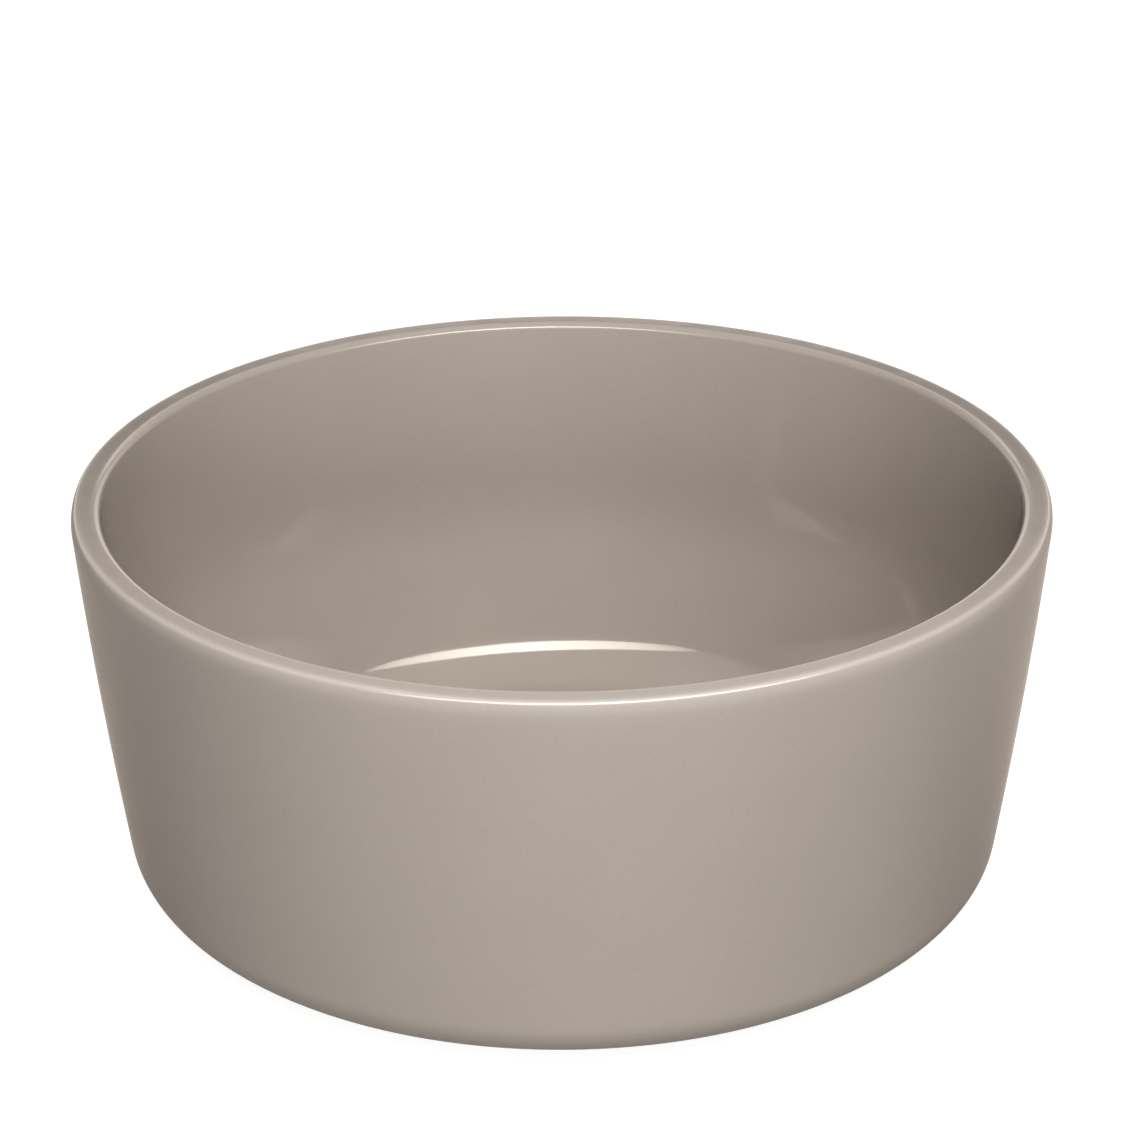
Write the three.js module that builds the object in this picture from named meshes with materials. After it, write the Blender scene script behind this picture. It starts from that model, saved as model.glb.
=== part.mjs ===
// Round stoneware bowl: a leaning wall, a flat-topped lip and a foot ring, glazed all over but for the foot.
// Millimetres, +Z up. The origin is the centre of the face that the bowl stands on.
import * as THREE from 'three';

// Driving dimensions of the glazed bowl
const rimRadius = 100; // outside of the lip, the bowl's widest circle
const height = 86.6; // table to the flat of the lip
const lipWidth = 6; // thickness of the wall at the lip
const lipReach = 1.2; // how far the lip's outer edge is rounded in from the side
const lipDrop = 2.8; // how far that rounding runs down the side
const innerLipRadius = 2; // rounding of the lip's inner edge

// Lean of the wall away from upright, in degrees: each face is an arc that leans more towards its lower end
const outerLeanTop = 5.1;
const outerLeanBase = 8.2;
const innerLeanTop = 4;
const innerLeanBase = 6;

// Haunch: the lower half of the inner face, a straight slope where the wall thickens towards the floor
const haunchLevel = 52; // table to where the inner face starts to bend into the slope
const haunchRadius = 60; // that bend
const haunchLean = 22; // the slope, in degrees away from upright

// Base, floor and foot ring
const cornerRadius = 10.3; // outer corner between wall and base
const floorCornerRadius = 16; // inner corner between the slope and the floor
const floorThickness = 4; // top of the floor down to the roof of the recess under it
const recessDepth = 1.2; // table to the roof of that recess
const footRise = 4.2; // table to the base outside the foot ring
const footInset = 7.1; // foot ring's outside, in from where the corner meets the base
const footWidth = 6;
const footBevel = 0.7; // worn edges of the foot ring

// Glaze
const glazeThickness = 0.4;
const glazeSeat = 0.02; // clearance between the glaze and the clay it is fused to
const wipeMargin = 1; // bare clay between a wiped edge of glaze and the foot ring
const glazeEdgeBevel = 0.2; // softened edge of the glaze in the recess

// Facets
const turns = 64; // segments round the axis
const lipSteps = 4;
const wallSteps = 3;
const bendSteps = 3;
const cornerSteps = 5;

const rad = THREE.MathUtils.degToRad;

// Unit direction at an angle above the outward radial direction, in degrees.
function direction(angle) {
  return new THREE.Vector2(Math.cos(rad(angle)), Math.sin(rad(angle)));
}

// A place on the section (x is the radius, y the height) and the direction its surface faces there.
function place(radius, level, facing) {
  return { at: new THREE.Vector2(radius, level), normal: direction(facing) };
}

// Places round an arc, from one facing to another. A hollow arc bends round the open side.
function arc(centre, radius, from, to, steps, hollow = false) {
  const places = [];
  for (let i = 0; i <= steps; i++) {
    const facing = from + ((to - from) * i) / steps;
    const reach = direction(facing).multiplyScalar(hollow ? -radius : radius);
    places.push(place(centre.x + reach.x, centre.y + reach.y, facing));
  }
  return places;
}

// Places round the outer edge of the lip: a quarter of an ellipse, carried on to where it leans as the wall does.
function outerLip() {
  const places = [];
  for (let i = 0; i <= lipSteps; i++) {
    const facing = -outerLeanTop + ((90 + outerLeanTop) * i) / lipSteps;
    const n = direction(facing);
    const size = Math.hypot(lipReach * n.x, lipDrop * n.y);
    const radius = rimRadius - lipReach + (lipReach ** 2 * n.x) / size;
    const level = height - lipDrop + (lipDrop ** 2 * n.y) / size;
    places.push(place(radius, level, facing));
  }
  return places;
}

// Radius of the arc of a wall face that turns from one lean to the other between two levels.
function wallArcRadius(top, base, leanTop, leanBase) {
  return (top - base) / (Math.sin(rad(leanBase)) - Math.sin(rad(leanTop)));
}

// Outside of the bowl, from the base up to the flat of the lip.
function outside() {
  const lip = outerLip();
  const top = lip[0].at;
  const foot = footRise + cornerRadius * (1 - Math.sin(rad(outerLeanBase)));
  const radius = wallArcRadius(top.y, foot, outerLeanTop, outerLeanBase);
  const centre = direction(-outerLeanTop).multiplyScalar(-radius).add(top);
  const wall = arc(centre, radius, -outerLeanBase, -outerLeanTop, wallSteps);
  const turn = direction(-outerLeanBase).multiplyScalar(-cornerRadius).add(wall[0].at);
  const corner = arc(turn, cornerRadius, -90, -outerLeanBase, cornerSteps);
  return [...corner, ...wall.slice(1, -1), ...lip];
}

// Inside of the bowl, from the flat of the lip down to the centre of the floor.
function inside() {
  const floor = recessDepth + floorThickness;
  const lipCentre = new THREE.Vector2(rimRadius - lipWidth + innerLipRadius, height - innerLipRadius);
  const lip = arc(lipCentre, innerLipRadius, 90, 180 - innerLeanTop, lipSteps);
  const top = lip[lipSteps].at;
  const radius = wallArcRadius(top.y, haunchLevel, innerLeanTop, innerLeanBase);
  const centre = direction(180 - innerLeanTop).multiplyScalar(radius).add(top);
  const wall = arc(centre, radius, 180 - innerLeanTop, 180 - innerLeanBase, wallSteps, true);
  const bendCentre = direction(180 - innerLeanBase).multiplyScalar(haunchRadius).add(wall[wallSteps].at);
  const bend = arc(bendCentre, haunchRadius, 180 - innerLeanBase, 180 - haunchLean, bendSteps, true);
  const slopeTop = bend[bendSteps].at;
  const slopeFoot = floor + floorCornerRadius * (1 - Math.sin(rad(haunchLean)));
  const slopeRun = (slopeTop.y - slopeFoot) * Math.tan(rad(haunchLean));
  const slopeEnd = new THREE.Vector2(slopeTop.x - slopeRun, slopeFoot);
  const turn = direction(180 - haunchLean).multiplyScalar(floorCornerRadius).add(slopeEnd);
  const corner = arc(turn, floorCornerRadius, 180 - haunchLean, 90, cornerSteps, true);
  return [...lip, ...wall.slice(1, -1), ...bend, ...corner, place(0, floor, 90)];
}

const outsideFace = outside();
const baseRadius = outsideFace[0].at.x;
const footOuter = baseRadius - footInset;
const footInner = footOuter - footWidth;
const glazedFace = [place(footOuter + wipeMargin, footRise, -90), ...outsideFace, ...inside()];

// The glazed face sunk by a depth into the bowl.
function sunk(depth) {
  return glazedFace.map(({ at, normal }) => at.clone().addScaledVector(normal, -depth));
}

// A solid turned about +Z from a section that starts and ends on the axis, with its material on the left.
function turned(name, section, material) {
  const geometry = new THREE.LatheGeometry(section, turns).rotateX(Math.PI / 2);
  const mesh = new THREE.Mesh(geometry, material);
  mesh.name = name;
  return mesh;
}

// Fired clay: floor, wall and lip under the glaze, and the bare foot ring.
function clayBody() {
  const clayDepth = glazeThickness + glazeSeat;
  const roof = recessDepth + clayDepth;
  const section = [
    new THREE.Vector2(0, roof),
    new THREE.Vector2(footInner, roof),
    new THREE.Vector2(footInner, footBevel),
    new THREE.Vector2(footInner + footBevel, 0),
    new THREE.Vector2(footOuter - footBevel, 0),
    new THREE.Vector2(footOuter, footBevel),
    new THREE.Vector2(footOuter, footRise + clayDepth),
    ...sunk(clayDepth),
  ];
  const clay = new THREE.MeshStandardMaterial({ color: 0xb7a48f, roughness: 0.85, metalness: 0 });
  return turned('clay_body', section, clay);
}

const glaze = { color: 0xa59b91, roughness: 0.12, metalness: 0 };

// One unbroken coat over the outside, the lip and the inside. It stops at a wiped edge beside the foot ring.
function glazeCoat() {
  const section = [...sunk(glazeThickness).reverse(), ...sunk(0)];
  return turned('glaze_coat', section, new THREE.MeshStandardMaterial(glaze));
}

// Glaze on the roof of the recess, inside the foot ring.
function baseGlaze() {
  const edge = footInner - wipeMargin;
  const section = [
    new THREE.Vector2(0, recessDepth),
    new THREE.Vector2(edge - glazeEdgeBevel, recessDepth),
    new THREE.Vector2(edge, recessDepth + glazeEdgeBevel),
    new THREE.Vector2(edge, recessDepth + glazeThickness),
    new THREE.Vector2(0, recessDepth + glazeThickness),
  ];
  return turned('base_glaze', section, new THREE.MeshStandardMaterial(glaze));
}

const bowl = new THREE.Group();
bowl.add(clayBody(), glazeCoat(), baseGlaze());

export default bowl;
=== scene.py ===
# %% [markdown]
# # A glazed stoneware bowl
# This lesson dresses a plain turned model of a bowl until it looks fired and glazed. The bowl is one lump
# of stoneware under a glossy taupe glaze, so there are three pieces: the glaze over everything that is
# seen, the clay that shows only at the foot ring, and a patch of glaze inside that ring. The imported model
# gives the size and the frame. Everything here is in that frame, in metres, standing on z = 0 with its axis
# on +Z.

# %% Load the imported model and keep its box
import bpy
import numpy as np
from mathutils import Matrix, Vector


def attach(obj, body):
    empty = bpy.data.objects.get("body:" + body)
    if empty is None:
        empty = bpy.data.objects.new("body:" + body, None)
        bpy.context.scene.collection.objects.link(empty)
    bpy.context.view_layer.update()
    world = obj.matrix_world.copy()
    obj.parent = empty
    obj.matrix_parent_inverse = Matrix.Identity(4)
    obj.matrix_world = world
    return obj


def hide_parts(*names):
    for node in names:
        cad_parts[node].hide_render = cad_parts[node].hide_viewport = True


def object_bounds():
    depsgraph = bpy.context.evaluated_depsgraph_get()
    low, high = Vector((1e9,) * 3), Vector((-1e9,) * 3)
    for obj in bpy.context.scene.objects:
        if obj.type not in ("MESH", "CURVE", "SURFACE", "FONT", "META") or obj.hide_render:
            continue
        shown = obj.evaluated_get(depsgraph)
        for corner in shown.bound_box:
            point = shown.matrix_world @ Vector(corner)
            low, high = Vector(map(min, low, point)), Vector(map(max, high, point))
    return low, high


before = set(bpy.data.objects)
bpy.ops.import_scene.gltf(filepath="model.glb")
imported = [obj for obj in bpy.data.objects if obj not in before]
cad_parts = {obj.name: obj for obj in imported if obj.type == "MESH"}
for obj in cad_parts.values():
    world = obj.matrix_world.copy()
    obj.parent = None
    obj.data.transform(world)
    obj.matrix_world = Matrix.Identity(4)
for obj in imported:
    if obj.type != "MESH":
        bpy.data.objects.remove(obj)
cad_low, cad_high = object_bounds()
print("the packed nodes are", sorted(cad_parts))
print("the packed box is", [round(c * 1000, 2) for c in (*cad_low, *cad_high)], "mm")

# %% [markdown]
# ## The bowl's measures
# A potter's template would give the same few numbers: how wide and tall, how thick the lip, how far the
# wall leans and how round its corners are. Two of them, the rim's radius and the height, are read from the
# packed box, so the smooth surface never stands outside the faceted one. The rest repeats the model's own
# values, but for the lip's inner edge: it is rounded a little more tightly here, to keep its highlight as
# thin as it is.

# %% Measures in millimetres and degrees
MM = 0.001
rim_radius = (cad_high.x - cad_low.x) / 2 / MM
height = cad_high.z / MM
lip_width = 6.0
lip_reach = 1.2
lip_drop = 2.8
inner_lip_radius = 1.6
outer_lean_top = 5.1
outer_lean_base = 8.2
inner_lean_top = 4.0
inner_lean_base = 6.0
haunch_level = 52.0
haunch_radius = 60.0
haunch_lean = 22.0
corner_radius = 10.3
floor_corner_radius = 16.0
recess_depth = 1.2
floor_thickness = 4.0
floor_level = recess_depth + floor_thickness
foot_rise = 4.2
foot_inset = 7.1
foot_width = 6.0
foot_bevel = 0.7
glaze_thickness = 0.4
glaze_seat = 0.02
wipe_margin = 1.0
turns = 288
print(f"rim {2 * rim_radius:.2f} mm across, {height:.2f} mm tall, lip {lip_width} mm thick")

# %% [markdown]
# ## Walking along a section
# A turned shape is known once its section is known: the line that a knife would leave when cutting the bowl
# from the rim to the axis. Each bit of that line is an arc, and an arc is easiest to write by the way its
# surface faces: a point lies one radius from the centre, in the facing direction. Points and facings are
# kept side by side, because the glaze and the clay under it are the same line pushed inwards along the
# facings.

# %% Facings and arcs
def facing(degrees):
    """Unit vectors (outward, upward) for angles above the outward direction: (cos a, sin a)."""
    angle = np.radians(np.asarray(degrees, float))
    return np.stack([np.cos(angle), np.sin(angle)], axis=-1)


def arc(centre, radius, start, stop, count, hollow=False):
    """Points of an arc and their facings: centre + radius * facing, or minus it where the arc is hollow."""
    angles = np.linspace(start, stop, count)
    side = -1.0 if hollow else 1.0
    return np.asarray(centre) + side * radius * facing(angles), angles


def straight(start, stop, count, angle):
    """Points of a straight run: start + (stop - start) * t for t from 0 to 1, all facing one way."""
    t = np.linspace(0.0, 1.0, count)[:, None]
    return np.asarray(start) + (np.asarray(stop) - np.asarray(start)) * t, np.full(count, float(angle))


def wall_arc_radius(top, base, lean_top, lean_base):
    """Radius of a wall that turns between two leans: the drop over the difference of the leans' sines."""
    return (top - base) / (np.sin(np.radians(lean_base)) - np.sin(np.radians(lean_top)))


print("an arc of three points:", arc((0, 0), 1.0, 0, 90, 3)[0].round(3).tolist())

# %% [markdown]
# ## The glazed face
# From below, the line runs along the base, round the corner, up the wall that leans out, over the lip, down
# the inside, where it bends into a sloping haunch, round the hollow corner and along the floor to the axis.
# Every bit starts where the last one ended and faces the same way there, so a highlight slides along it
# with no kink. The lip is flat on top with a small round inner edge and a drawn-out outer one, a quarter of
# an ellipse.

# %% The outside, up to the flat of the lip
def outer_lip(count):
    """Quarter ellipse by facing a: centre + (p^2 cos a, q^2 sin a) / hypot(p cos a, q sin a)."""
    angles = np.linspace(-outer_lean_top, 90.0, count)
    n = facing(angles)
    size = np.hypot(lip_reach * n[:, 0], lip_drop * n[:, 1])
    radius = rim_radius - lip_reach + lip_reach ** 2 * n[:, 0] / size
    level = height - lip_drop + lip_drop ** 2 * n[:, 1] / size
    return np.stack([radius, level], axis=-1), angles


def outside(fine):
    """Corner, wall and outer lip, in that order, with about 10 * fine points in all."""
    lip = outer_lip(2 * fine)
    top = lip[0][0]
    base = foot_rise + corner_radius * (1 - np.sin(np.radians(outer_lean_base)))
    bend = wall_arc_radius(top[1], base, outer_lean_top, outer_lean_base)
    middle = top - bend * facing(-outer_lean_top)
    wall = arc(middle, bend, -outer_lean_base, -outer_lean_top, 4 * fine)
    turn = wall[0][0] - corner_radius * facing(-outer_lean_base)
    corner = arc(turn, corner_radius, -90.0, -outer_lean_base, 3 * fine)
    return [corner, wall, lip]


corner_start = outside(4)[0][0][0]
foot_outer = corner_start[0] - foot_inset
foot_inner = foot_outer - foot_width
print(f"the corner leaves the base at radius {corner_start[0]:.2f} mm; the foot ring is "
      f"{2 * foot_inner:.1f} to {2 * foot_outer:.1f} mm across")

# %% The inside, down to the axis
def inside(fine):
    """Inner lip, wall, bend, sloping haunch, hollow corner and floor, in that order."""
    lip_centre = (rim_radius - lip_width + inner_lip_radius, height - inner_lip_radius)
    lip = arc(lip_centre, inner_lip_radius, 90.0, 180.0 - inner_lean_top, 2 * fine)
    top = lip[0][-1]
    wall_radius = wall_arc_radius(top[1], haunch_level, inner_lean_top, inner_lean_base)
    middle = top + wall_radius * facing(180.0 - inner_lean_top)
    wall = arc(middle, wall_radius, 180.0 - inner_lean_top, 180.0 - inner_lean_base, 3 * fine, hollow=True)
    knee = wall[0][-1] + haunch_radius * facing(180.0 - inner_lean_base)
    bend = arc(knee, haunch_radius, 180.0 - inner_lean_base, 180.0 - haunch_lean, 2 * fine, hollow=True)
    slope_foot = floor_level + floor_corner_radius * (1 - np.sin(np.radians(haunch_lean)))
    slope_run = (bend[0][-1, 1] - slope_foot) * np.tan(np.radians(haunch_lean))
    slope_end = (bend[0][-1, 0] - slope_run, slope_foot)
    slope = straight(bend[0][-1], slope_end, fine, 180.0 - haunch_lean)
    turn = np.asarray(slope_end) + floor_corner_radius * facing(180.0 - haunch_lean)
    corner = arc(turn, floor_corner_radius, 180.0 - haunch_lean, 90.0, 3 * fine, hollow=True)
    floor_run = straight(corner[0][-1], (0.0, floor_level), 2 * fine, 90.0)
    return [lip, wall, bend, slope, corner, floor_run]


def glazed_face(fine):
    """Points and facings of the whole glazed line, each shared end counted once."""
    base_run = straight((foot_outer + wipe_margin, foot_rise), corner_start, fine, -90.0)
    out = outside(fine)
    into = inside(fine)
    flat = straight(out[-1][0][-1], into[0][0][0], fine, 90.0)
    runs = [base_run, *out, flat, *into]
    points = np.concatenate([run[0][:-1] for run in runs[:-1]] + [runs[-1][0]])
    angles = np.concatenate([run[1][:-1] for run in runs[:-1]] + [runs[-1][1]])
    return points, angles


def sunk(points, angles, depth):
    """The line pushed into the bowl: points minus depth times their facings."""
    return points - depth * facing(angles)


face_points, face_angles = glazed_face(9)
print("the glazed line has", len(face_points), "points; it ends on the axis at", face_points[-1].round(3))

# %% [markdown]
# ## Turning a section into a closed surface
# A lathe sweeps the section round the axis. As a surface it is a function of two parameters, the step along
# the section and the turn t: (r cos t, r sin t, z). Blender has a Screw modifier for this, but whole arrays
# give control over the poles: where the section meets the axis, one shared point closes the surface with a
# fan, and the last column of faces joins the first, so there is no seam. A second array can let the radius
# wander round the turn, which the hand-wiped edges of the glaze need.

# %% The lathe
def turned(name, section, thin_and_sheen=None, wander=None):
    """Closed surface ((r + w a(t)) cos t, (r + w a(t)) sin t, z) of a section from axis to axis.

    The third argument is a number for each section point, kept as an attribute: how far the glaze has
    thinned, and on the lip also a painted highlight and glow. wander is the pair (w, a): how much each
    section point follows the wandering edge, and how far that edge wanders at each turn.
    """
    t = np.arange(turns) * 2 * np.pi / turns
    rings = section[1:-1]
    radius = np.repeat(rings[:, :1], turns, axis=1)
    if wander is not None:
        radius = radius + wander[0][1:-1, None] * wander[1](t)[None, :]
    level = np.repeat(rings[:, 1:], turns, axis=1)
    grid = np.stack([radius * np.cos(t), radius * np.sin(t), level], axis=-1)
    poles = np.array([[0.0, 0.0, section[0, 1]], [0.0, 0.0, section[-1, 1]]])
    points = np.concatenate([grid.reshape(-1, 3), poles]) * MM

    row, column = np.meshgrid(np.arange(len(rings) - 1), np.arange(turns), indexing="ij")
    beside = (column + 1) % turns
    quads = np.stack([row * turns + column, row * turns + beside,
                      (row + 1) * turns + beside, (row + 1) * turns + column], axis=-1).reshape(-1, 4)
    around = np.arange(turns)
    ahead = (around + 1) % turns
    last = (len(rings) - 1) * turns
    first_pole = np.full(turns, len(points) - 2)
    last_pole = np.full(turns, len(points) - 1)
    first_fan = np.stack([first_pole, ahead, around], axis=-1)
    last_fan = np.stack([last + around, last + ahead, last_pole], axis=-1)

    mesh = bpy.data.meshes.new(name)
    mesh.from_pydata(points.tolist(), [], quads.tolist() + first_fan.tolist() + last_fan.tolist())
    mesh.polygons.foreach_set("use_smooth", np.ones(len(mesh.polygons), bool))
    # The attribute holds thinned glaze and, on the lip, painted highlight and glow.
    if thin_and_sheen is not None:
        each = np.concatenate([np.repeat(thin_and_sheen[1:-1], turns), thin_and_sheen[:1], thin_and_sheen[-1:]])
        mesh.attributes.new("thin_and_sheen", "FLOAT", "POINT").data.foreach_set("value", each.astype(np.float32))
    mesh.validate()
    piece = bpy.data.objects.new(name, mesh)
    bpy.context.collection.objects.link(piece)
    print(f"{name}: {len(points)} points, {2 * len(quads) + 2 * turns} triangles")
    return piece


def wiped(t):
    """How far a sponge-wiped edge wanders, in mm: a sum of four slow waves round the turn."""
    return 0.16 * np.sin(2 * t + 0.4) + 0.11 * np.sin(5 * t + 1.9) + 0.07 * np.sin(9 * t + 4.2) \
        + 0.05 * np.sin(16 * t + 2.7)


widest_wander = np.abs(wiped(np.linspace(0.0, 2 * np.pi, turns))).max()
print(f"a wiped edge wanders by up to {widest_wander:.2f} mm")

# %% [markdown]
# ## The glaze coat
# Glaze is a skin of coloured glass, here 0.4 mm thick, over the outside, the lip and the inside in one
# piece. It is closed like a real skin: its seen face, its hidden face against the clay, and the rounded
# bead where it was wiped off before the foot. Melting glaze draws back from edges, so it is thinner and
# paler at the bead and, in part, on the two crests of the lip. The pale bands on the crests are also a
# painted highlight, and a paler band fading down the outer wall below the outer crest is painted glow.
# How far the glaze has thinned, together with this painted light, goes into an attribute, which the
# material reads later.

# %% How thin the glaze has run, and where highlight and glow are painted on it
lip_band = 8.0
# The bells on the two crests are glaze thinned at the edge and a painted highlight together.
outer_crest_facing = 52.0
outer_crest_width = 0.75
inner_crest_facing = 102.0
inner_crest_width = 0.55
inner_crest_share = 0.6
# A paler band fading down the wall below the outer crest: painted glow.
painted_glow_share = 0.45
painted_glow_fade = 2.2
bead_fade = 0.8


def run_length(points):
    """Length along a line of points, from its first."""
    return np.concatenate([[0.0], np.cumsum(np.hypot(*np.diff(points, axis=0).T))])


def thinning_and_sheen(points, angles):
    """0 where the glaze is full, towards 1 where it drew back and where highlight and glow are painted on.

    The largest of a bell curve exp(-(d / width)^2) about each crest of the lip, where the glaze thinned and
    a highlight is painted, a slow fade exp(-d / length) down the wall from the outer crest, which is painted
    glow, and one from the bead at the foot; d is the distance along the line.
    """
    along = run_length(points)
    lip = points[:, 1] > height - lip_band
    from_outer = along - along[lip][np.argmin(np.abs(angles[lip] - outer_crest_facing))]
    from_inner = along - along[lip][np.argmin(np.abs(angles[lip] - inner_crest_facing))]
    # Each crest's bell is partly thinned glaze and partly a painted highlight.
    outer_bell = np.exp(-(from_outer / outer_crest_width) ** 2)
    # The fade below the outer crest is painted glow, lighter where light falls on the wall.
    painted_glow = np.where(from_outer < 0, painted_glow_share * np.exp(from_outer / painted_glow_fade), 0.0)
    inner_bell = inner_crest_share * np.exp(-(from_inner / inner_crest_width) ** 2)
    bead = np.exp(-along / bead_fade)
    return np.clip(np.maximum.reduce([outer_bell, painted_glow, inner_bell, bead]), 0.0, 1.0)


# The pale crests are partly thin glaze and partly a painted highlight.
print(f"the glaze is thinnest where the lip faces {outer_crest_facing} and {inner_crest_facing} degrees")

# %% The coat as a closed skin
coat_reach = 3.0
base_band = 0.6


def foot_follow(section, edge):
    """1 at a wiped edge near the foot, easing to 0 a reach away from it, and 0 above the base."""
    near = np.clip(1.0 - np.abs(section[:, 0] - edge) / coat_reach, 0.0, 1.0)
    return near * (section[:, 1] < foot_rise + base_band) * (section[:, 0] > foot_outer)


def glaze_skin():
    """Section of the coat: the hidden face from axis to foot, a half-round bead, the seen face back."""
    half = glaze_thickness / 2
    hidden = sunk(*glazed_face(4), glaze_thickness)[::-1]
    bead = arc(face_points[0] + half, half, 90.0, 270.0, 7)[0]
    hidden[-1] = bead[0]
    past_bead = run_length(face_points) > glaze_thickness
    section = np.concatenate([hidden, bead[1:], face_points[past_bead]])
    # The seen face carries the thinning and the painted highlight and glow.
    seen_thin_and_sheen = thinning_and_sheen(face_points, face_angles)[past_bead]
    thin_and_sheen = np.concatenate([np.zeros(len(hidden)), np.ones(len(bead) - 1), seen_thin_and_sheen])
    return section, thin_and_sheen


coat_section, coat_thin_and_sheen = glaze_skin()
coat_follow = foot_follow(coat_section, foot_outer + wipe_margin)
glaze_coat = turned("glaze_skin", coat_section, coat_thin_and_sheen, (coat_follow, wiped))
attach(glaze_coat, "root")
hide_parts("glaze_coat")

# %% [markdown]
# ## The clay body
# Under the glaze is the fired clay. It is seen only from below: the foot ring that the bowl stands on, and
# the narrow bare margins beside it where the glaze was wiped away so that it would not stick to the kiln
# shelf. The same glazed line, pushed in by the glaze's depth, is the body's skin; the foot ring is added
# below it, with edges rounded as a damp sponge leaves them.

# %% The body's section
tuck_radius = 0.5
ring_top_gap = 0.4


def clay_section():
    """Section of the clay: the recess roof, the foot ring's rounded edges, then under the glaze."""
    depth = glaze_thickness + glaze_seat
    roof = recess_depth + depth
    tuck_start = foot_inner - tuck_radius
    roof_run = straight((0.0, roof), (tuck_start, roof), 12, -90.0)[0]
    tuck = arc((tuck_start, roof - tuck_radius), tuck_radius, 90.0, 0.0, 6)[0]
    inner_edge = arc((foot_inner + foot_bevel, foot_bevel), foot_bevel, 180.0, 270.0, 8)[0]
    outer_edge = arc((foot_outer - foot_bevel, foot_bevel), foot_bevel, 270.0, 360.0, 8)[0]
    top_edge = np.array([[foot_outer, foot_rise - ring_top_gap], [foot_outer, foot_rise + depth]])
    under_glaze = sunk(*glazed_face(4), depth)
    return np.concatenate([roof_run, tuck[1:], inner_edge, outer_edge, top_edge, under_glaze])


clay_body = turned("bare_clay", clay_section())
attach(clay_body, "root")
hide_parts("clay_body")

# %% [markdown]
# ## The patch of glaze under the bowl
# Inside the foot ring the base is glazed too, as a disc in a shallow recess that never touches the table.
# It could be a flat circle, but glaze has an edge: a rounded bead that wanders where the sponge passed.

# %% The patch
patch_reach = 5.0


def base_patch_section():
    """Section of the patch: its lower face from the axis, a half-round bead, its hidden face to the axis."""
    half = glaze_thickness / 2
    edge = foot_inner - wipe_margin
    lower = straight((0.0, recess_depth), (edge - half, recess_depth), 26, -90.0)[0]
    bead = arc((edge - half, recess_depth + half), half, 270.0, 450.0, 9)[0]
    upper = straight(bead[-1], (0.0, recess_depth + glaze_thickness), 8, 90.0)[0]
    return np.concatenate([lower, bead[1:], upper[1:]]), edge


patch_section, patch_edge = base_patch_section()
patch_near = np.clip(1.0 - (patch_edge - patch_section[:, 0]) / patch_reach, 0.0, 1.0)
patch_thin = np.exp(-(patch_edge - patch_section[:, 0]) / bead_fade)
base_patch = turned("base_patch", patch_section, patch_thin, (patch_near, wiped))
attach(base_patch, "root")
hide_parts("base_glaze")

# %% [markdown]
# ## Wiring a material
# A material is a small circuit of nodes. A few helpers keep the circuits readable: they add a node with its
# settings and input values, a mix of two colours, a sum, or a change of range. What is the same all over a
# surface is set on the shader's own sockets; what changes from place to place comes in through a wire.

# %% Helpers for nodes
def plug(tree, socket, value):
    """Wire a socket to another one, or give it a plain value."""
    if isinstance(value, bpy.types.NodeSocket):
        tree.links.new(value, socket)
    else:
        socket.default_value = value


def add(tree, kind, settings=None, **values):
    """A new node with its settings and input values; an input that is given a socket is wired to it."""
    made = tree.nodes.new(kind)
    for key, value in (settings or {}).items():
        setattr(made, key, value)
    for key, value in values.items():
        plug(tree, made.inputs[key.replace("_", " ")], value)
    return made


def blend_colour(tree, share, first, second):
    """Colour socket of a mix from the first colour to the second by the share."""
    made = add(tree, "ShaderNodeMix", {"data_type": "RGBA"})
    for index, value in ((0, share), (6, first), (7, second)):
        plug(tree, made.inputs[index], value)
    return made.outputs[2]


def reckon(tree, operation, *values):
    """Socket of one step of arithmetic on one or two values."""
    made = add(tree, "ShaderNodeMath", {"operation": operation})
    for socket, value in zip(made.inputs, values):
        plug(tree, socket, value)
    return made.outputs[0]


def spread(tree, value, low, high, to_low, to_high):
    """Socket of a value carried from one range to another and held inside it."""
    made = add(tree, "ShaderNodeMapRange", {"clamp": True}, Value=value, From_Min=low, From_Max=high,
               To_Min=to_low, To_Max=to_high)
    return made.outputs["Result"]


def new_material(name):
    """An empty material with its shader and output: (material, tree, shader)."""
    material = bpy.data.materials.new(name)
    material.use_nodes = True
    tree = material.node_tree
    return material, tree, tree.nodes["Principled BSDF"]


print("node helpers are ready")

# %% [markdown]
# ## Taupe glaze
# The glaze is opaque and glossy. Its colour is not one flat taupe: it clouds a little over a few
# centimetres, it has fine iron specks that melted into it, and it breaks paler on the lip's crests, where
# it is thin. A painted highlight on the crests and a painted glow below the outer crest are mixed in with
# the same pale colour. An image could hold all that, but noise in the object's own coordinates has no seam
# and no end. The gloss is a plain dielectric over a coloured base, with a very slight waviness, as poured
# glass has.

# %% The glaze's colour
glaze_full = (0.372, 0.327, 0.288, 1.0)
glaze_cloud = (0.386, 0.339, 0.299, 1.0)
# Pale glaze of thin edges, also used for the painted highlight and glow on the lip.
glaze_thin_and_sheen = (0.560, 0.500, 0.446, 1.0)
speck_dark = (0.235, 0.195, 0.160, 1.0)
speck_pale = (0.480, 0.430, 0.380, 1.0)

glaze, tree, shader = new_material("taupe_glaze")
place = add(tree, "ShaderNodeTexCoord").outputs["Object"]
cloud = add(tree, "ShaderNodeTexNoise", Vector=place, Scale=34.0, Detail=4.0, Roughness=0.55).outputs["Fac"]
colour = blend_colour(tree, spread(tree, cloud, 0.32, 0.68, 0.0, 1.0), glaze_full, glaze_cloud)


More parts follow.
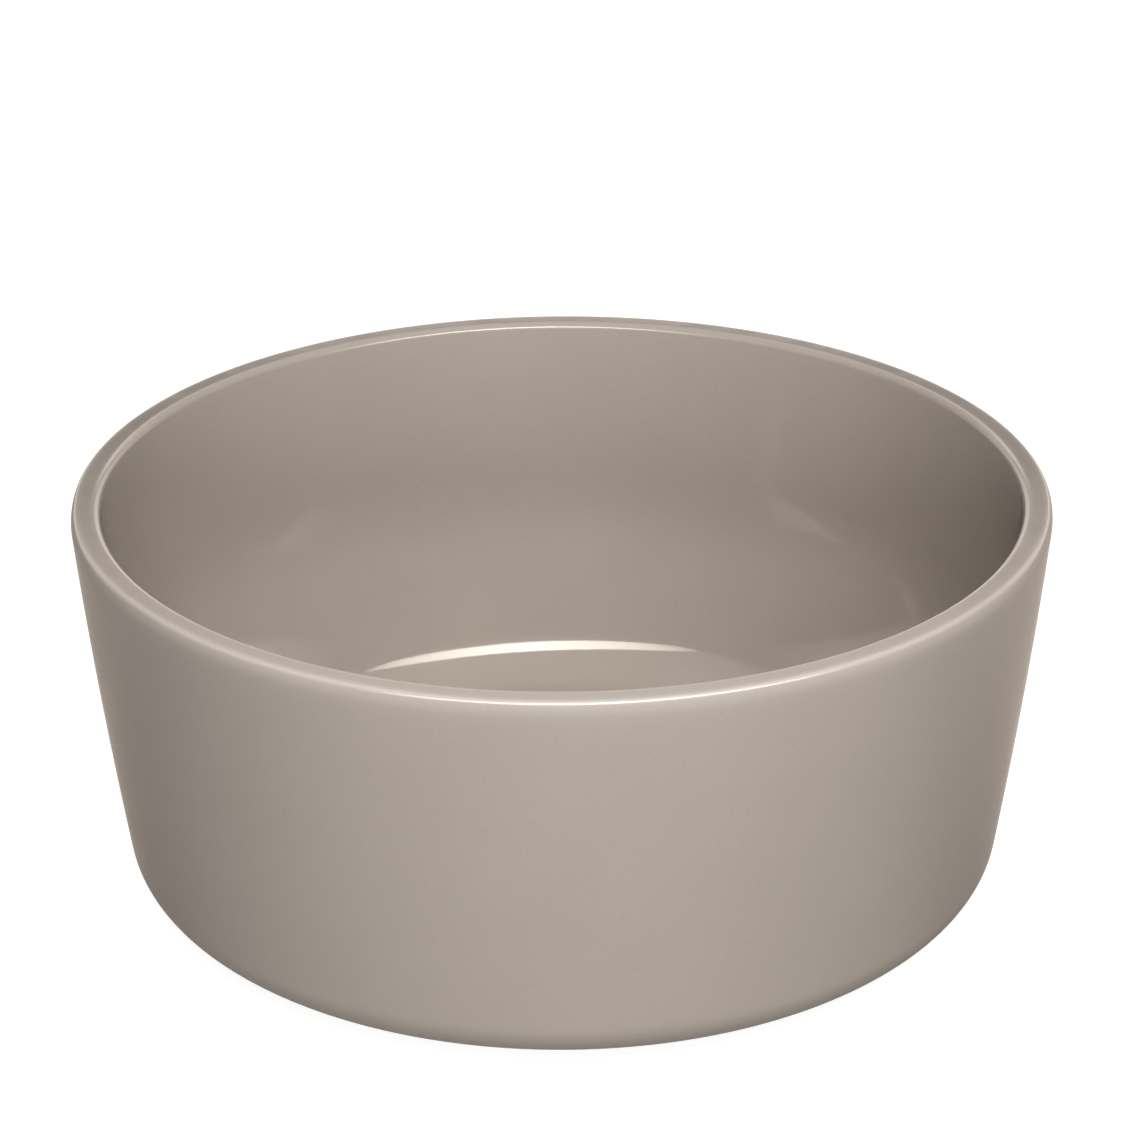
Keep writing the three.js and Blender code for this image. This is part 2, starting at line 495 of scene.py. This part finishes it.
def specks(tree, place, scale, size, share):
    """Mask of scattered round specks: cells with a high random number, within a radius of their centre."""
    cell = add(tree, "ShaderNodeTexVoronoi", Vector=place, Scale=scale)
    dot = spread(tree, cell.outputs["Distance"], size * 0.6, size, 1.0, 0.0)
    pick = add(tree, "ShaderNodeSeparateColor", Color=cell.outputs["Color"]).outputs["Red"]
    chosen = reckon(tree, "GREATER_THAN", pick, 1.0 - share)
    return reckon(tree, "MULTIPLY", dot, chosen)


dark = spread(tree, specks(tree, place, 900.0, 0.30, 0.20), 0.0, 1.0, 0.0, 0.16)
colour = blend_colour(tree, dark, colour, speck_dark)
pale = spread(tree, specks(tree, place, 700.0, 0.26, 0.16), 0.0, 1.0, 0.0, 0.10)
colour = blend_colour(tree, pale, colour, speck_pale)
# Paler where the glaze is thin, and where a highlight and glow are painted on the lip.
thin_and_sheen = add(tree, "ShaderNodeAttribute", {"attribute_name": "thin_and_sheen"}).outputs["Fac"]
colour = blend_colour(tree, spread(tree, thin_and_sheen, 0.0, 1.0, 0.0, 0.8), colour, glaze_thin_and_sheen)
tree.links.new(colour, shader.inputs["Base Color"])
print("the glaze's colour has", len(tree.nodes), "nodes")

# %% The glaze's gloss
glaze_ior = 1.6
smoothest = 0.055
roughest = 0.085
smear = add(tree, "ShaderNodeTexNoise", Vector=place, Scale=55.0, Detail=2.0).outputs["Fac"]
tree.links.new(spread(tree, smear, 0.3, 0.7, smoothest, roughest), shader.inputs["Roughness"])
ripple = add(tree, "ShaderNodeTexNoise", Vector=place, Scale=120.0, Detail=1.0).outputs["Fac"]
waves = add(tree, "ShaderNodeBump", Strength=0.12, Distance=0.0002, Height=ripple)
tree.links.new(waves.outputs["Normal"], shader.inputs["Normal"])
shader.inputs["IOR"].default_value = glaze_ior
for piece in (glaze_coat, base_patch):
    piece.data.materials.append(glaze)
print("glaze on", glaze_coat.name, "and", base_patch.name)

# %% [markdown]
# ## Bare clay
# Fired stoneware is matt, sandy and a warm buff, with darker grog in it. The foot was turned on a wheel and
# sponged, so faint rings run round it. The rings come from the distance to the axis, and the grit from two
# sizes of noise; both are raised a little by the bump.

# %% The clay's colour and grain
clay_buff = (0.470, 0.370, 0.280, 1.0)
clay_warm = (0.390, 0.295, 0.215, 1.0)
clay_grog = (0.230, 0.170, 0.125, 1.0)
ring_pitch = 0.0009

clay, tree, shader = new_material("bare_stoneware")
place = add(tree, "ShaderNodeTexCoord").outputs["Object"]
patches = add(tree, "ShaderNodeTexNoise", Vector=place, Scale=60.0, Detail=5.0, Roughness=0.6).outputs["Fac"]
colour = blend_colour(tree, spread(tree, patches, 0.35, 0.65, 0.0, 1.0), clay_buff, clay_warm)
grog = spread(tree, specks(tree, place, 900.0, 0.34, 0.30), 0.0, 1.0, 0.0, 0.7)
colour = blend_colour(tree, grog, colour, clay_grog)
tree.links.new(colour, shader.inputs["Base Color"])

grit = add(tree, "ShaderNodeTexNoise", Vector=place, Scale=2600.0, Detail=3.0).outputs["Fac"]
rough = spread(tree, grit, 0.3, 0.7, 0.78, 0.95)
tree.links.new(rough, shader.inputs["Roughness"])
level_place = add(tree, "ShaderNodeVectorMath", {"operation": "MULTIPLY"})
plug(tree, level_place.inputs[0], place)
plug(tree, level_place.inputs[1], (1.0, 1.0, 0.0))
from_axis = add(tree, "ShaderNodeVectorMath", {"operation": "LENGTH"})
plug(tree, from_axis.inputs[0], level_place.outputs["Vector"])
ring_phase = reckon(tree, "MULTIPLY", from_axis.outputs["Value"], 2 * np.pi / ring_pitch)
rings = spread(tree, reckon(tree, "SINE", ring_phase), -1.0, 1.0, 0.0, 0.35)
relief = reckon(tree, "ADD", grit, rings)
raised = add(tree, "ShaderNodeBump", Strength=0.5, Distance=0.0003, Height=relief)
tree.links.new(raised.outputs["Normal"], shader.inputs["Normal"])
clay_body.data.materials.append(clay)
print("clay on", clay_body.name)

# %% [markdown]
# ## Floor and surroundings
# The bowl stands on a plain pale floor in a white room. What the camera sees of them is white, and the
# floor keeps the bowl's soft shadow. Glaze is a faint mirror, and what it mirrors in a studio is dimmer and
# warmer than white: a full white mirrored at a low angle would wash out the sides of the wall. So
# reflections see a floor that is dim beside the bowl and paler behind it, and a room that is dim in front.
# At the back they see a bright sweep low down, a dark band over it and a bright bank above that, which draw
# the light and dark lines along the lip. No light falls from the room itself, so the lamps shape the bowl.

# %% The floor
floor_half = 4.0
floor_beside = (0.280, 0.240, 0.205, 1.0)
floor_behind = (0.600, 0.510, 0.440, 1.0)
bounce_grey = (0.34, 0.34, 0.34, 1.0)
shade_grey = (0.42, 0.42, 0.42, 1.0)
floor_glow = 0.90
floor_corners = np.array([[-1, -1, 0], [1, -1, 0], [1, 1, 0], [-1, 1, 0]]) * floor_half
floor_mesh = bpy.data.meshes.new("pale_floor")
floor_mesh.from_pydata(floor_corners.tolist(), [], [(0, 1, 2, 3)])
pale_floor = bpy.data.objects.new("pale_floor", floor_mesh)
bpy.context.collection.objects.link(pale_floor)

floor_white, tree, shader = new_material("pale_floor")
tree.nodes.remove(shader)
ray = add(tree, "ShaderNodeLightPath")
bounce = add(tree, "ShaderNodeBsdfDiffuse", Color=bounce_grey)
where = add(tree, "ShaderNodeSeparateXYZ", Vector=add(tree, "ShaderNodeNewGeometry").outputs["Position"])
behind = spread(tree, where.outputs["Y"], -0.04, 0.05, 0.0, 1.0)
rightward = spread(tree, where.outputs["X"], -0.10, 0.10, 0.60, 1.0)
share = reckon(tree, "MULTIPLY", behind, rightward)
mirror_tone = blend_colour(tree, share, floor_beside, floor_behind)
mirrored = add(tree, "ShaderNodeEmission", Color=mirror_tone)
shade = add(tree, "ShaderNodeBsdfDiffuse", Color=shade_grey)
glow = add(tree, "ShaderNodeEmission", Strength=floor_glow)
white = tree.nodes.new("ShaderNodeAddShader")
tree.links.new(shade.outputs[0], white.inputs[0])
tree.links.new(glow.outputs[0], white.inputs[1])
unseen = add(tree, "ShaderNodeMixShader", Fac=ray.outputs["Is Glossy Ray"])
tree.links.new(bounce.outputs[0], unseen.inputs[1])
tree.links.new(mirrored.outputs[0], unseen.inputs[2])
either = add(tree, "ShaderNodeMixShader", Fac=ray.outputs["Is Camera Ray"])
tree.links.new(unseen.outputs[0], either.inputs[1])
tree.links.new(white.outputs[0], either.inputs[2])
tree.links.new(either.outputs[0], tree.nodes["Material Output"].inputs["Surface"])
floor_mesh.materials.append(floor_white)
print("floor", 2 * floor_half, "m square")

# %% The room
room_white = (1.00, 1.00, 1.00, 1.0)
room_tint = (1.00, 0.86, 0.74, 1.0)
front_low = 0.21
front_high = 0.85
sweep_bright = 1.5
bank_bright = 1.8
bank_dim = 0.6

room = bpy.data.worlds.new("white_room")
bpy.context.scene.world = room
room.use_nodes = True
tree = room.node_tree
background = tree.nodes["Background"]
ray = add(tree, "ShaderNodeLightPath")
way = add(tree, "ShaderNodeSeparateXYZ", Vector=add(tree, "ShaderNodeTexCoord").outputs["Generated"])
# Ramps on Z run over the sine of a direction's elevation
in_front = spread(tree, way.outputs["Z"], 0.30, 0.50, front_low, front_high)
sweep = spread(tree, way.outputs["Z"], 0.340, 0.365, sweep_bright, 0.0)
bank_foot = spread(tree, way.outputs["Z"], 0.385, 0.450, 0.0, bank_bright)
bank_top = spread(tree, way.outputs["Z"], 0.460, 0.600, bank_bright, bank_dim)
at_back = reckon(tree, "ADD", sweep, reckon(tree, "MINIMUM", bank_foot, bank_top))
backwards = spread(tree, way.outputs["Y"], 0.3, 0.7, 0.0, 1.0)
mirrored = add(tree, "ShaderNodeMix", {"data_type": "FLOAT"}, Factor=backwards, A=in_front, B=at_back)
shown = reckon(tree, "MULTIPLY", mirrored.outputs["Result"], ray.outputs["Is Glossy Ray"])
seen = ray.outputs["Is Camera Ray"]
level = add(tree, "ShaderNodeMix", {"data_type": "FLOAT"}, Factor=seen, A=shown, B=1.0)
tree.links.new(level.outputs["Result"], background.inputs["Strength"])
tone = blend_colour(tree, ray.outputs["Is Glossy Ray"], room_white, room_tint)
tree.links.new(tone, background.inputs["Color"])
print("the room is white to the camera; reflections see", front_low, "to", bank_bright, "of that")

# %% [markdown]
# ## Studio light
# The photograph was lit from the front. Four softboxes shade the bowl: a low one for the outside wall, a
# broad one above the camera and to its right for the inside, and a middle and a high one between and above
# them. A fifth, low behind the bowl, keeps its far side from going dark in other views. The bright crescent
# in the hollow corner is a long lamp seen as in a mirror. A studio would hang a narrow strip for it; here
# the strip is seen by reflections only and the softboxes by shading only, so that each can be placed
# without the other. Watts come from the brightness that each lamp's face should have.

# %% Softboxes
def softbox(name, azimuth, elevation, distance, width, tall, radiance, spread_angle=180.0):
    """Area lamp that faces the bowl, by its direction in degrees, and its distance and size in metres.

    Watts are radiance * pi * area. A grid with the half angle h narrows the beam and makes it brighter by
    tan h / (tan h - h), so the watts are divided by that.
    """
    turn, tilt = np.radians(azimuth), np.radians(elevation)
    towards = Vector((np.sin(turn) * np.cos(tilt), -np.cos(turn) * np.cos(tilt), np.sin(tilt)))
    lamp = bpy.data.lights.new(name, "AREA")
    lamp.shape = "RECTANGLE"
    lamp.size = width
    lamp.size_y = tall
    lamp.spread = np.radians(spread_angle)
    half = np.radians(spread_angle) / 2
    gain = 1.0 if spread_angle >= 180.0 else np.tan(half) / (np.tan(half) - half)
    lamp.energy = radiance * np.pi * width * tall / gain
    holder = bpy.data.objects.new(name, lamp)
    bpy.context.collection.objects.link(holder)
    holder.location = Vector((0.0, 0.0, height * MM / 2)) + towards * distance
    holder.rotation_euler = towards.to_track_quat("Z", "Y").to_euler()
    print(f"{name}: {lamp.energy:.1f} W")
    return holder


low = softbox("low_softbox", -6.0, 8.0, 1.3, 0.5, 0.25, 16.5)
broad = softbox("broad_softbox", 18.0, 50.0, 1.2, 1.1, 0.4, 7.2)
middle = softbox("middle_softbox", 6.0, 32.0, 1.2, 0.5, 0.4, 4.6)
high = softbox("high_softbox", 16.0, 66.0, 1.2, 0.5, 0.4, 4.8)
back = softbox("back_softbox", 180.0, 6.0, 1.3, 0.9, 0.25, 18.0)
for lamp in (low, middle, broad, high, back):
    lamp.visible_glossy = False
strip = softbox("highlight_strip", 12.0, 40.0, 0.9, 2.2, 0.26, 15.0, 105.0)
ellipse_share = np.pi / 4
strip.data.shape = "ELLIPSE"
strip.data.energy *= ellipse_share
strip.data.color = (1.0, 0.95, 0.86)
strip.visible_diffuse = False

# %% [markdown]
# ## The photograph's viewpoint
# The camera was found by fitting a pinhole to the bowl's outline and the two edges of its lip: where it
# stands, how far it tips down, a quarter of a degree of roll, and a lens long enough for the slight
# perspective.

# %% The camera
camera_data = bpy.data.cameras.new("viewpoint")
camera_data.sensor_width = 36.0
camera_data.lens = 113.36
camera_data.clip_end = 50.0
camera = bpy.data.objects.new("viewpoint", camera_data)
bpy.context.collection.objects.link(camera)
pitch = np.radians(24.350)
roll = np.radians(-0.278)
stance = Matrix.Rotation(np.pi / 2 - pitch, 4, "X") @ Matrix.Rotation(roll, 4, "Z")
stance.translation = Vector((0.102, -667.89, height + 284.73)) * MM
camera.matrix_world = stance
bpy.context.scene.camera = camera
bpy.context.scene.view_settings.view_transform = "Standard"
print("the camera stands at", [round(c, 3) for c in camera.location])
